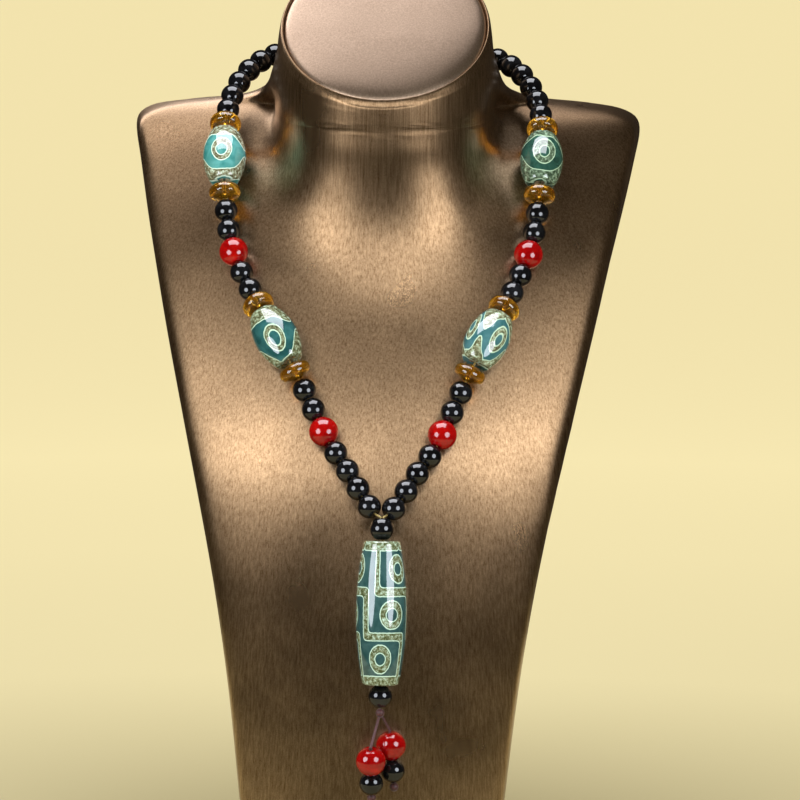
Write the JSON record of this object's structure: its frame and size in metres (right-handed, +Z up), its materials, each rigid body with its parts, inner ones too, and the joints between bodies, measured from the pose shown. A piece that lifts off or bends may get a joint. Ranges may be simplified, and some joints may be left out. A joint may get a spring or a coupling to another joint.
{
  "type": "dzi bead necklace on a neck bust",
  "caption": "Long bead necklace of black, red and amber beads, patterned barrel beads and a long patterned pendant, displayed on a slanted neck bust with a flat base.",
  "frame": {"origin": "middle of the bust's flat base, which is its mount base", "axes": "+Z up, +X towards the display's right as seen from the front, -Y towards the viewer"},
  "size_m": [0.1832, 0.1579, 0.311],
  "materials": {
    "bust_covering": "satin metallic",
    "face_covering": "satin metallic",
    "clasp_metal": "plain",
    "strand_thread": "waxed thread",
    "knotted_cord": "waxed cord",
    "black_onyx": "polished",
    "red_agate": "polished",
    "amber_resin": "polished, clear",
    "dzi_agate": "polished, with cream lines and olive bands"
  },
  "bodies": {
    "root": {"bust": "bust_covering", "neck_face": "face_covering", "clasp": "clasp_metal", "strand_left": "strand_thread", "strand_right": "strand_thread", "drop_cord_front": "knotted_cord", "drop_cord_back": "knotted_cord", "knot_last": "knotted_cord", "drop_knot_front": "knotted_cord", "drop_knot_back": "knotted_cord", "neck_beads_left": "black_onyx", "neck_beads_right": "black_onyx", "black_left_1": "black_onyx", "black_left_2": "black_onyx", "black_left_3": "black_onyx", "black_left_4": "black_onyx", "black_left_5": "black_onyx", "black_left_6": "black_onyx", "black_left_7": "black_onyx", "black_left_8": "black_onyx", "black_left_9": "black_onyx", "black_left_10": "black_onyx", "black_right_1": "black_onyx", "black_right_2": "black_onyx", "black_right_3": "black_onyx", "black_right_4": "black_onyx", "black_right_5": "black_onyx", "black_right_6": "black_onyx", "black_right_7": "black_onyx", "black_right_8": "black_onyx", "black_right_9": "black_onyx", "black_right_10": "black_onyx", "black_middle": "black_onyx", "black_last": "black_onyx", "drop_black_front": "black_onyx", "drop_black_back": "black_onyx", "red_left_1": "red_agate", "red_left_2": "red_agate", "red_right_1": "red_agate", "red_right_2": "red_agate", "drop_red_front": "red_agate", "drop_red_back": "red_agate", "amber_left_1": "amber_resin", "amber_left_2": "amber_resin", "amber_left_3": "amber_resin", "amber_left_4": "amber_resin", "amber_right_1": "amber_resin", "amber_right_2": "amber_resin", "amber_right_3": "amber_resin", "amber_right_4": "amber_resin", "dzi_left_1": "dzi_agate", "dzi_left_2": "dzi_agate", "dzi_right_1": "dzi_agate", "dzi_right_2": "dzi_agate", "dzi_pendant": "dzi_agate"}
  },
  "joints": []
}
